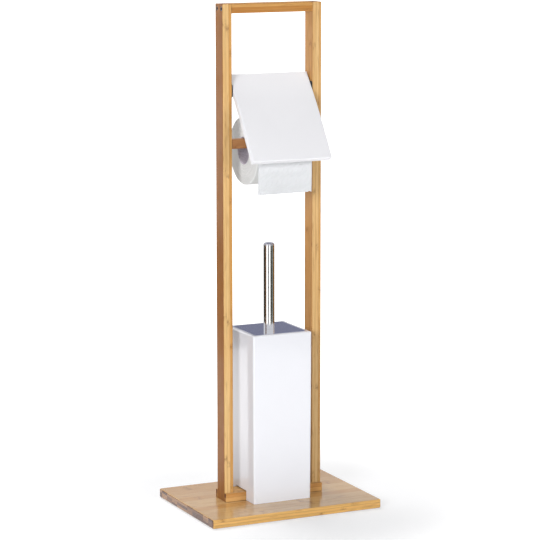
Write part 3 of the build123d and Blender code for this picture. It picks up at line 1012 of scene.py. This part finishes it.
@dataclass
class SubAssembly:
    """A group of pieces that are built and dressed together.

    Attributes:
        title: Name used in the log.
    """

    title: str

    def dress(self, node: str, finish: Finish) -> None:
        """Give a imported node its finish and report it.

        Args:
            node: Name of the node.
            finish: Its finish.
        """
        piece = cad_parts[node]
        piece.data.materials.clear()
        piece.data.materials.append(finish.material())
        log.info("%s: %s in %s", self.title, node, finish.name)

    def piece(
        self,
        name: str,
        points: Sequence[Sequence[float]],
        faces: Sequence[Sequence[int]],
        finish: Finish,
        flat: Optional[Sequence[Sequence[float]]] = None,
    ) -> bpy.types.Object:
        """Make a smooth mesh piece.

        Args:
            name: Name of the piece.
            points: Corner places.
            faces: Corner numbers of each face.
            finish: Its finish.
            flat: Place of each corner on the flattened surface, in metres.

        Returns:
            The new object.
        """
        mesh = bpy.data.meshes.new(name)
        mesh.from_pydata([tuple(point) for point in points], [], [tuple(face) for face in faces])
        mesh.update()
        if flat is not None:
            layer = mesh.uv_layers.new(name="flat")
            for loop in mesh.loops:
                layer.data[loop.index].uv = flat[loop.vertex_index]
        mesh.shade_smooth()
        mesh.materials.append(finish.material())
        made = bpy.data.objects.new(name, mesh)
        bpy.context.scene.collection.objects.link(made)
        log.info("%s: %s with %d faces in %s", self.title, name, len(faces), finish.name)
        return made

    def build(self) -> None:
        """Build and dress every piece of the group."""
        raise NotImplementedError


@dataclass
class Stand(SubAssembly):
    """Bamboo base, posts, bars and what holds them together.

    Attributes:
        title: Name used in the log.
    """

    title: str = "stand"

    def build(self) -> None:
        """Dress the stand's pieces."""
        self.dress("base_plate", BASE_BAMBOO_PAINTED_LIGHT)
        self.dress("foot_rail", RAIL_BAMBOO)
        self.dress("left_post", LEFT_POST_BAMBOO)
        self.dress("right_post", RIGHT_POST_BAMBOO)
        self.dress("top_bar", BAR_BAMBOO)
        self.dress("foot_pads", PAD_RUBBER)
        self.dress("top_bar_screws", SCREW_STEEL_PAINTED_REFLECTION)
        for node in ("base_screws", "cover_bush_screws"):
            self.dress(node, ZINC_STEEL)
        for node in ("cover_bush_left", "cover_bush_right"):
            self.dress(node, BLACK_NYLON)


@dataclass
class Cover(SubAssembly):
    """White panel that hangs on two pins over the roll.

    Attributes:
        title: Name used in the log.
    """

    title: str = "cover"

    def build(self) -> None:
        """Dress the cover's pieces."""
        self.dress("cover_panel", WHITE_LACQUER)
        self.dress("cover_pin_left", ZINC_STEEL)
        self.dress("cover_pin_right", ZINC_STEEL)


@dataclass
class PaperRoll(SubAssembly):
    """Roll of paper on its core, with the loose sheet and the bar that carries it.

    Attributes:
        title: Name used in the log.
        turn_steps: Steps round the roll.
        out_of_round: How far the roll's outer face dips in.
        rim_radius: Rounding of the roll's outer edges.
        layer_ripple: How far the layers' edges step in and out on the end faces.
        seam_lap: Height of the spiral lap inside the core.
        seam_turns: Turns of that lap along the core.
        bore_clearance: Gap between the core and the corners of the bar.
        sheet_thickness: Thickness of the loose sheet.
        sheet_wrap: Angle of the roll that the loose sheet lies on.
        sheet_gap: Distance from the roll's outer face to the middle of the loose sheet.
        sheet_sway: How far the sheet's foot hangs back towards the stand.
        sheet_wave: Depth of the waves at the sheet's foot.
        tooth_depth: Depth of the perforation's teeth.
        tear_depth: Depth of the tear at the sheet's right corner.
        tear_seed: Chooses the depths of the teeth.
        centre: Middle of the roll.
        half_width: Half the roll's width.
        radius: Radius of the roll.
        core_radius: Outer radius of the core.
        bore_radius: Inner radius of the core.
        sheet_reach: Distance from the roll's axis to the middle of the loose sheet.
        sheet_half: Half the sheet's width.
        sheet_length: Length of the flat sheet.
    """

    title: str = "paper roll"
    turn_steps: int = 180
    out_of_round: float = 0.35 * MM
    rim_radius: float = 2.2 * MM
    layer_ripple: float = 0.22 * MM
    seam_lap: float = 0.25 * MM
    seam_turns: float = 1.1
    bore_clearance: float = 0.3 * MM
    sheet_thickness: float = 0.35 * MM
    sheet_wrap: float = math.radians(84)
    sheet_gap: float = 0.45 * MM
    sheet_sway: float = 3.0 * MM
    sheet_wave: float = 0.9 * MM
    tooth_depth: float = 0.55 * MM
    tear_depth: float = 2.4 * MM
    tear_seed: int = 21
    centre: Vector = field(init=False)
    half_width: float = field(init=False)
    radius: float = field(init=False)
    core_radius: float = field(init=False)
    bore_radius: float = field(init=False)
    sheet_reach: float = field(init=False)
    sheet_half: float = field(init=False)
    sheet_length: float = field(init=False)

    def __post_init__(self) -> None:
        """Take the places and sizes of the roll and its sheet from the frame."""
        low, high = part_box("roll_paper")
        core_low, core_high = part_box("roll_core")
        bar_low, bar_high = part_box("roll_bar")
        sheet_low, sheet_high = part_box("paper_sheet")
        self.centre = (low + high) / 2
        self.half_width = (high.x - low.x) / 2
        self.radius = (high.z - low.z) / 2
        self.core_radius = (core_high.z - core_low.z) / 2
        bar_corner = math.hypot((bar_high.y - bar_low.y) / 2, bar_high.z - self.centre.z)
        self.bore_radius = bar_corner + self.bore_clearance
        self.sheet_reach = self.radius + self.sheet_gap
        self.sheet_half = (sheet_high.x - sheet_low.x) / 2
        self.sheet_length = self.sheet_reach * self.sheet_wrap + (self.centre.z - sheet_low.z)

    def round_piece(
        self, name: str, profile: Callable[[float], Outline], finish: Finish
    ) -> bpy.types.Object:
        """Make a closed ring piece round the roll's axis.

        Args:
            name: Name of the piece.
            profile: Gives the closed outline as radius and place along X, at an angle.
            finish: Its finish.

        Returns:
            The new object.
        """
        end_band = 0.6 * MM
        points, faces, flat = [], [], []
        count = len(profile(0.0))
        for turn in range(self.turn_steps):
            angle = 2 * math.pi * turn / self.turn_steps
            for radius, x in profile(angle):
                y = self.centre.y + radius * math.cos(angle)
                z = self.centre.z + radius * math.sin(angle)
                points.append((self.centre.x + x, y, z))
                on_end = abs(x) > self.half_width - end_band
                flat.append((radius if on_end else x, self.radius * angle))
        for turn in range(self.turn_steps):
            ring, after = turn * count, ((turn + 1) % self.turn_steps) * count
            for index in range(count):
                beside = (index + 1) % count
                faces.append((ring + index, ring + beside, after + beside, after + index))
        return self.piece(name, points, faces, finish, flat)

    def layer_step(self, radius: float, angle: float) -> float:
        """How far a layer's edge stands back on an end face.

        Args:
            radius: Radius of the layer.
            angle: Angle round the roll.

        Returns:
            Depth in metres.
        """
        turn = radius / MM
        wave = math.sin(turn * 1.15 + angle) + 0.6 * math.sin(turn * 2.7 - 0.5 * math.sin(angle))
        drift = noise.noise(Vector((math.cos(angle) * 1.6, math.sin(angle) * 1.6, turn * 0.12)))
        return self.layer_ripple * (0.5 + 0.25 * wave + 0.8 * abs(drift))

    def paper_profile(self, angle: float) -> Outline:
        """Outline of the wound paper: bore, end faces, rounded rims and outer face.

        Args:
            angle: Angle round the roll.

        Returns:
            Pairs of radius and place along X.
        """
        rings, rim_steps, outer_steps = 44, 6, 16
        dip = self.out_of_round * (0.5 + 0.5 * math.sin(3 * angle + 0.8) * math.sin(angle))
        outer = self.radius - dip
        half = self.half_width
        side = []
        for ring in range(rings):
            depth = (outer - self.rim_radius - self.core_radius) * ring / (rings - 1)
            radius = self.core_radius + depth
            side.append((radius, half - self.layer_step(radius, angle)))
        for step in range(1, rim_steps + 1):
            lean = math.pi / 2 * step / rim_steps
            radius = outer - self.rim_radius + self.rim_radius * math.sin(lean)
            bulge = (self.rim_radius - self.layer_ripple) * math.cos(lean)
            side.append((radius, half - self.rim_radius + bulge))
        outline = [(radius, -x) for radius, x in side]
        for step in range(1, outer_steps):
            x = (half - self.rim_radius) * (2 * step / outer_steps - 1)
            outline.append((outer, x))
        return outline + side[::-1]

    def core_profile(self, angle: float) -> Outline:
        """Outline of the cardboard core, with the step of its spiral lap.

        Args:
            angle: Angle round the roll.

        Returns:
            Pairs of radius and place along X.
        """
        steps = 60
        paper_gap = 0.02 * MM
        outer = self.core_radius - paper_gap
        outline = []
        for step in range(steps + 1):
            x = self.half_width * (2 * step / steps - 1)
            turn = (angle / (2 * math.pi) + self.seam_turns * step / steps) % 1.0
            lap = self.seam_lap * min(1.0, turn / 0.02) * (1.0 - turn)
            outline.append((self.bore_radius + lap, x))
        outline += [(outer, self.half_width), (outer, -self.half_width)]
        return outline

    def sheet_point(self, along: float, across: float) -> Vector:
        """Place of a point of the loose sheet.

        Args:
            along: Distance from the sheet's start over the roll.
            across: Place along X from the roll's middle, as a share of half the sheet's width.

        Returns:
            The place in the row frame.
        """
        reach = self.sheet_reach
        arc = reach * self.sheet_wrap
        x = self.centre.x + across * self.sheet_half
        if along <= arc:
            angle = math.pi - self.sheet_wrap + along / reach
            y = self.centre.y + reach * math.cos(angle)
            z = self.centre.z + reach * math.sin(angle)
            return Vector((x, y, z))
        share = (along - arc) / (self.sheet_length - arc)
        wave = math.sin(across * 3.4 + 0.7) + 0.45 * math.sin(across * 7.9 + 2.0 + share)
        sway = self.sheet_sway * share ** 2 + self.sheet_wave * wave * share ** 1.5
        sway -= self.sheet_wave * share
        z = self.centre.z - (along - arc)
        return Vector((x, self.centre.y - reach + sway, z))

    def make_sheet(self) -> bpy.types.Object:
        """Make the loose sheet with its torn perforation.

        Returns:
            The new object.
        """
        columns, rows = 128, 90
        chance = random.Random(self.tear_seed)
        points, flat, faces = [], [], []
        for row in range(rows + 1):
            along = self.sheet_length * row / rows
            for column in range(columns + 1):
                across = 2 * column / columns - 1
                reached = along
                if row == rows:
                    tooth = self.tooth_depth * (column % 2) * chance.uniform(0.5, 1.0)
                    corner = max(0.0, (across - 0.72) / 0.28)
                    tear = self.tear_depth * corner * (0.6 + 0.4 * math.sin(across * 43))
                    reached = along - tooth - tear
                points.append(self.sheet_point(reached, across))
                flat.append((across * self.sheet_half, reached))
        stride = columns + 1
        for row in range(rows):
            for column in range(columns):
                first = row * stride + column
                faces.append((first, first + 1, first + stride + 1, first + stride))
        made = self.piece("hanging_sheet", points, faces, SHEET_TISSUE, flat)
        ply = made.modifiers.new("ply", "SOLIDIFY")
        ply.thickness = self.sheet_thickness
        ply.offset = 0.0
        return made

    def build(self) -> None:
        """Build the roll, its core and its sheet, and dress the bar."""
        paper = self.round_piece("wound_paper", self.paper_profile, ROLL_TISSUE)
        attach(paper, "roll")
        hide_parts("roll_paper")
        core = self.round_piece("spiral_core", self.core_profile, CORE_BOARD)
        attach(core, "roll")
        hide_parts("roll_core")
        sheet = self.make_sheet()
        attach(sheet, "roll_bar")
        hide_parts("paper_sheet")
        self.dress("roll_bar", ROLL_BAR_BAMBOO_PAINTED_SHADE)
        self.dress("roll_bar_dowel_left", ROLL_BAR_BAMBOO_PAINTED_SHADE)
        self.dress("roll_bar_dowel_right", ROLL_BAR_BAMBOO_PAINTED_SHADE)


@dataclass
class BrushHolder(SubAssembly):
    """White tapered holder that stands over the foot rail.

    Attributes:
        title: Name used in the log.
    """

    title: str = "brush holder"

    def build(self) -> None:
        """Dress the holder."""
        self.dress("holder_shell", WHITE_PLASTIC)


@dataclass
class ToiletBrush(SubAssembly):
    """Brush with its lid, handle, stem, hub and bristles.

    Attributes:
        title: Name used in the log.
        tuft_rings: Rings of tufts up the hub.
        tufts_per_ring: Tufts in a ring.
        strands_per_tuft: Bristles in a tuft.
        strand_radius: Radius of a bristle at its root.
        strand_sides: Sides of a bristle.
        strand_joints: Bends along a bristle.
        splay: How far a bristle's tip strays, as a share of its length.
        bristle_seed: Chooses where the bristles stray to.
        crown_tilts: Downward tilts of the rings round the hub's foot, in degrees.
        hub_radius: Radius of the hub.
    """

    title: str = "brush"
    tuft_rings: int = 11
    tufts_per_ring: int = 26
    strands_per_tuft: int = 5
    strand_radius: float = 0.42 * MM
    strand_sides: int = 4
    strand_joints: int = 3
    splay: float = 0.11
    bristle_seed: int = 5
    crown_tilts: tuple[float, ...] = (14.0, 31.0, 48.0, 65.0, 82.0)
    hub_radius: float = field(init=False)

    def __post_init__(self) -> None:
        """Take the hub's size from the frame."""
        low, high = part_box("brush_hub")
        self.hub_radius = (high.x - low.x) / 2

    def strand(
        self, root: Vector, aim: Vector, length: float, droop: Vector
    ) -> tuple[list[Vector], list[tuple[int, ...]]]:
        """Make one tapered, slightly bent bristle.

        Args:
            root: Where it leaves the hub.
            aim: Direction that it sets out in.
            length: Its length.
            droop: How far its tip has bent off that line.

        Returns:
            Its points and its faces, counted from 0.
        """
        side = aim.cross(Vector((0.31, 0.17, 0.94))).normalized()
        other = aim.cross(side)
        points, faces = [], []
        for joint in range(self.strand_joints + 1):
            share = joint / self.strand_joints
            middle = root + aim * (length * share) + droop * share ** 2
            radius = self.strand_radius * (1.0 - 0.35 * share)
            for corner in range(self.strand_sides):
                angle = 2 * math.pi * corner / self.strand_sides
                points.append(middle + (side * math.cos(angle) + other * math.sin(angle)) * radius)
        for joint in range(self.strand_joints):
            ring = joint * self.strand_sides
            for corner in range(self.strand_sides):
                beside = (corner + 1) % self.strand_sides
                after = ring + self.strand_sides
                faces.append((ring + corner, ring + beside, after + beside, after + corner))
        last = self.strand_joints * self.strand_sides
        faces.append(tuple(range(self.strand_sides))[::-1])
        faces.append(tuple(range(last, last + self.strand_sides)))
        return points, faces

    def tuft_aims(self) -> list[tuple[Vector, Vector]]:
        """Where each tuft leaves the hub and the direction that it points in.

        Returns:
            Pairs of root and direction.
        """
        low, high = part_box("brush_bristles")
        reach = (high.x - low.x) / 2
        crown_z = low.z + reach
        root_radius = self.hub_radius - 0.5 * MM
        top_z = high.z - 2.0 * MM
        aims = []
        for ring in range(self.tuft_rings):
            height = crown_z + (top_z - crown_z) * ring / (self.tuft_rings - 1)
            for tuft in range(self.tufts_per_ring):
                angle = 2 * math.pi * (tuft + 0.5 * (ring % 2)) / self.tufts_per_ring
                aim = Vector((math.cos(angle), math.sin(angle), 0.0))
                aims.append((Vector((0, 0, height)) + aim * root_radius, aim))
        for tilt in self.crown_tilts:
            lean = math.radians(tilt)
            count = max(4, round(self.tufts_per_ring * math.cos(lean)))
            for tuft in range(count):
                angle = 2 * math.pi * tuft / count + tilt
                x, y = math.cos(angle) * math.cos(lean), math.sin(angle) * math.cos(lean)
                aim = Vector((x, y, -math.sin(lean)))
                aims.append((Vector((0, 0, crown_z)) + aim * root_radius, aim))
        return aims

    def make_bristles(self) -> bpy.types.Object:
        """Make every bristle of the brush as one piece.

        Returns:
            The new object.
        """
        root_spread = 0.9
        lean_per_stray = 12
        droop_share = 0.4
        low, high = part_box("brush_bristles")
        reach = (high.x - low.x) / 2
        chance = random.Random(self.bristle_seed)
        points, faces = [], []
        for root, aim in self.tuft_aims():
            side = aim.cross(Vector((0, 0, 1)))
            side = side.normalized() if side.length > 0.05 else Vector((1, 0, 0))
            up = side.cross(aim)
            for _ in range(self.strands_per_tuft):
                start = root + side * chance.uniform(-root_spread, root_spread) * MM
                start = start + up * chance.uniform(-root_spread, root_spread) * MM
                length = (reach - self.hub_radius) * chance.uniform(0.955, 1.0)
                stray = (side * chance.uniform(-1, 1) + up * chance.uniform(-1, 1)) * self.splay * length
                lean = (aim + stray * lean_per_stray).normalized()
                new_points, new_faces = self.strand(start, lean, length, stray * droop_share)
                base = len(points)
                points += new_points
                faces += [tuple(base + index for index in face) for face in new_faces]
        return self.piece("bristle_tufts", points, faces, BRISTLE_NYLON)

    def build(self) -> None:
        """Dress the brush's pieces and build its bristles."""
        self.dress("lid_plate", LID_STEEL)
        self.dress("handle_tube", HANDLE_STEEL)
        self.dress("handle_cap", CAP_STEEL)
        self.dress("handle_plug", ZINC_STEEL)
        self.dress("lid_washer", WASHER_RUBBER)
        self.dress("brush_stem", ZINC_STEEL)
        self.dress("brush_hub", HUB_PLASTIC)
        bristles = self.make_bristles()
        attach(bristles, "brush")
        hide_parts("brush_bristles")


@dataclass(frozen=True)
class SoftLamp:
    """Square area lamp that polished faces don't show.

    Attributes:
        name: Name of the lamp.
        place: Where it stands.
        target: Where it points.
        side: Length of its side.
        watts: Its power.
        tint: Colour of its light.
    """

    name: str
    place: tuple[float, float, float]
    target: tuple[float, float, float]
    side: float
    watts: float
    tint: tuple[float, float, float]

    def build(self) -> None:
        """Put the lamp in the scene."""
        data = bpy.data.lights.new(self.name, "AREA")
        data.shape = "SQUARE"
        data.size = self.side
        data.energy = self.watts
        data.color = self.tint
        lamp = bpy.data.objects.new(self.name, data)
        lamp.location = self.place
        aim = Vector(self.target) - Vector(self.place)
        lamp.rotation_euler = aim.to_track_quat("-Z", "Y").to_euler()
        lamp.visible_glossy = False
        bpy.context.scene.collection.objects.link(lamp)


@dataclass(frozen=True)
class Flag:
    """Upright curved card round the handle that polished steel reflects.

    Attributes:
        name: Name of the card.
        start: Azimuth where it begins, in degrees counter-clockwise from the camera's side,
            seen from above.
        end: Azimuth where it ends, counted in the same way.
        low: Height of its foot.
        high: Height of its top.
        distance: Distance from the handle.
        shade: Display level from 0 to 255 for red, green and blue.
    """

    name: str
    start: float
    end: float
    low: float
    high: float
    distance: float
    shade: tuple[int, int, int]

    def build(self, camera_azimuth: float, axis: Vector) -> None:
        """Put the card in the scene, where only glossy rays meet it.

        Args:
            camera_azimuth: Direction from the handle to the camera, in radians from +X.
            axis: A point on the handle's axis.
        """
        steps = 24
        points, faces = [], []
        for step in range(steps + 1):
            turn = camera_azimuth + math.radians(self.start + (self.end - self.start) * step / steps)
            x = axis.x + self.distance * math.cos(turn)
            y = axis.y + self.distance * math.sin(turn)
            points += [(x, y, self.low), (x, y, self.high)]
            if step:
                last = len(points) - 1
                faces.append((last - 3, last - 1, last, last - 2))
        mesh = bpy.data.meshes.new(self.name)
        mesh.from_pydata(points, [], faces)
        material = bpy.data.materials.new(self.name)
        material.use_nodes = True
        material.node_tree.nodes.clear()
        bench = NodeBench(material.node_tree)
        glow = bench.node("Emission")
        glow.inputs["Color"].default_value = linear(*self.shade)
        bench.put(bench.node("OutputMaterial").inputs["Surface"], glow.outputs[0])
        mesh.materials.append(material)
        card = bpy.data.objects.new(self.name, mesh)
        bpy.context.scene.collection.objects.link(card)
        for ray in ("camera", "diffuse", "transmission", "volume_scatter", "shadow"):
            setattr(card, "visible_" + ray, False)


# Foot, top and distance of the cards that stand low round the handle
LOW_FLAG = (0.002, 0.27, 1.3)


@dataclass
class Studio:
    """Floor, background, lamps, cards and camera.

    Attributes:
        floor_half: Half the floor's side.
        floor_paint: Colour of the floor.
        ambient: Level of the even light from all round.
        floor_glow: Level of the plain white that the floor blends into.
        floor_lift: Share of the floor's look near the object that is plain white to the camera.
        floor_near_mm: Distance from the object's middle where that share begins to rise.
        floor_far_mm: Distance where the floor looks plain white.
        camera_place: Where the camera stands.
        camera_yaw: Its turn to the right, in radians.
        camera_pitch: Its tilt upwards, in radians.
        camera_roll: Its roll, in radians.
        lens_mm: Focal length.
        sensor_mm: Width of the sensor.
        lamps: The soft lamps.
        flags: The cards that the steel reflects.
    """

    floor_half: float = 40.0
    floor_paint: tuple[float, float, float] = (0.93, 0.93, 0.94)
    ambient: float = 0.1
    floor_glow: float = 1.55
    floor_lift: float = 0.25
    floor_near_mm: float = 215.0
    floor_far_mm: float = 600.0
    camera_place: tuple[float, float, float] = (-1.61841, -3.42025, 1.02672)
    camera_yaw: float = 0.4424
    camera_pitch: float = -0.1671
    camera_roll: float = -0.0009
    lens_mm: float = 157.87
    sensor_mm: float = 36.0
    lamps: tuple[SoftLamp, ...] = (
        SoftLamp("key_lamp", (1.2, -2.9, 1.2), (0.0, 0.0, 0.4), 1.6, 37.0, (1.0, 1.0, 1.0)),
        SoftLamp("fill_lamp", (-2.4, -2.1, 1.1), (0.0, 0.0, 0.35), 1.0, 58.0, (0.95, 0.97, 1.0)),
        SoftLamp("top_lamp", (-0.3, 1.4, 2.6), (0.0, 0.0, 0.2), 2.0, 58.0, (1.0, 1.0, 1.0)),
    )
    flags: tuple[Flag, ...] = (
        Flag("left_flag", -200.0, -58.0, *LOW_FLAG, (72, 68, 62)),
        Flag("camera_flag", -19.0, 1.0, *LOW_FLAG, (76, 78, 80)),
        Flag("right_flag", 29.0, 65.0, *LOW_FLAG, (70, 72, 66)),
        Flag("teal_flag", 65.0, 89.0, *LOW_FLAG, (124, 132, 132)),
        Flag("far_right_flag", 89.0, 160.0, *LOW_FLAG, (88, 62, 42)),
        Flag("rear_flag", 150.0, 210.0, 0.42, 1.4, 1.3, (142, 144, 162)),
    )

    def build_world(self) -> None:
        """Give even light, with plain white behind the object and in its reflections."""
        world = bpy.data.worlds.new("studio_world")
        bpy.context.scene.world = world
        world.use_nodes = True
        world.node_tree.nodes.clear()
        bench = NodeBench(world.node_tree)
        rays = bench.node("LightPath").outputs
        seen = bench.math("MAXIMUM", rays["Is Camera Ray"], rays["Is Glossy Ray"])
        seen = bench.math("MAXIMUM", seen, rays["Is Transmission Ray"])
        level = bench.math("ADD", self.ambient, bench.math("MULTIPLY", seen, 1.0 - self.ambient))
        background = bench.node("Background")
        background.inputs["Color"].default_value = (1.0, 1.0, 1.0, 1.0)
        bench.put(background.inputs["Strength"], level)
        bench.put(bench.node("OutputWorld").inputs["Surface"], background.outputs[0])

    def build_floor(self) -> None:
        """Lay the pale floor, which keeps the object's soft shadow."""
        half = self.floor_half
        mesh = bpy.data.meshes.new("studio_floor")
        corners = [(-half, -half, 0), (half, -half, 0), (half, half, 0), (-half, half, 0)]
        mesh.from_pydata(corners, [], [(0, 1, 2, 3)])
        material = bpy.data.materials.new("studio_floor")
        material.use_nodes = True
        material.node_tree.nodes.clear()
        bench = NodeBench(material.node_tree)
        paint = bench.node("BsdfDiffuse")
        paint.inputs["Color"].default_value = (*self.floor_paint, 1.0)
        glow = bench.node("Emission")
        glow.inputs["Strength"].default_value = self.floor_glow
        rays = bench.node("LightPath").outputs
        seen = bench.math("MAXIMUM", rays["Is Camera Ray"], rays["Is Glossy Ray"])
        distance_mm = bench.vector("LENGTH", bench.place_mm())
        lift = bench.step(distance_mm, self.floor_near_mm, self.floor_far_mm, self.floor_lift, 1.0)
        blend = bench.node("MixShader")
        bench.put(blend.inputs[0], bench.math("MULTIPLY", seen, lift))
        bench.put(blend.inputs[1], paint.outputs[0])
        bench.put(blend.inputs[2], glow.outputs[0])
        bench.put(bench.node("OutputMaterial").inputs["Surface"], blend.outputs[0])
        mesh.materials.append(material)
        floor = bpy.data.objects.new("studio_floor", mesh)
        bpy.context.scene.collection.objects.link(floor)

    def build_camera(self) -> None:
        """Stand the camera where the photograph was taken from."""
        data = bpy.data.cameras.new("photo_camera")
        data.sensor_width = self.sensor_mm
        data.lens = self.lens_mm
        data.clip_end = 100.0
        camera = bpy.data.objects.new("photo_camera", data)
        yaw, pitch = self.camera_yaw, self.camera_pitch
        ahead = Vector((math.sin(yaw) * math.cos(pitch), math.cos(yaw) * math.cos(pitch), math.sin(pitch)))
        right = Vector((math.cos(yaw), -math.sin(yaw), 0.0))
        up = right.cross(ahead)
        turned = right * math.cos(self.camera_roll) + up * math.sin(self.camera_roll)
        up = turned.cross(ahead)
        axes = Matrix((turned, up, -ahead)).transposed().to_4x4()
        camera.matrix_world = Matrix.Translation(self.camera_place) @ axes
        bpy.context.scene.collection.objects.link(camera)
        bpy.context.scene.camera = camera

    def build(self) -> None:
        """Set up the whole studio."""
        bpy.context.scene.view_settings.view_transform = "Standard"
        self.build_camera()
        self.build_world()
        self.build_floor()
        for lamp in self.lamps:
            lamp.build()
        low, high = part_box("handle_tube")
        axis = (low + high) / 2
        towards = Vector(self.camera_place) - axis
        for flag in self.flags:
            flag.build(math.atan2(towards.y, towards.x), axis)


def main() -> None:
    """Build the studio and every sub-assembly."""
    logging.basicConfig(level=logging.INFO, format="%(name)s: %(message)s")
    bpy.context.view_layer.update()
    Studio().build()
    for group in (Stand(), Cover(), PaperRoll(), BrushHolder(), ToiletBrush()):
        group.build()


if __name__ == "__main__":
    main()
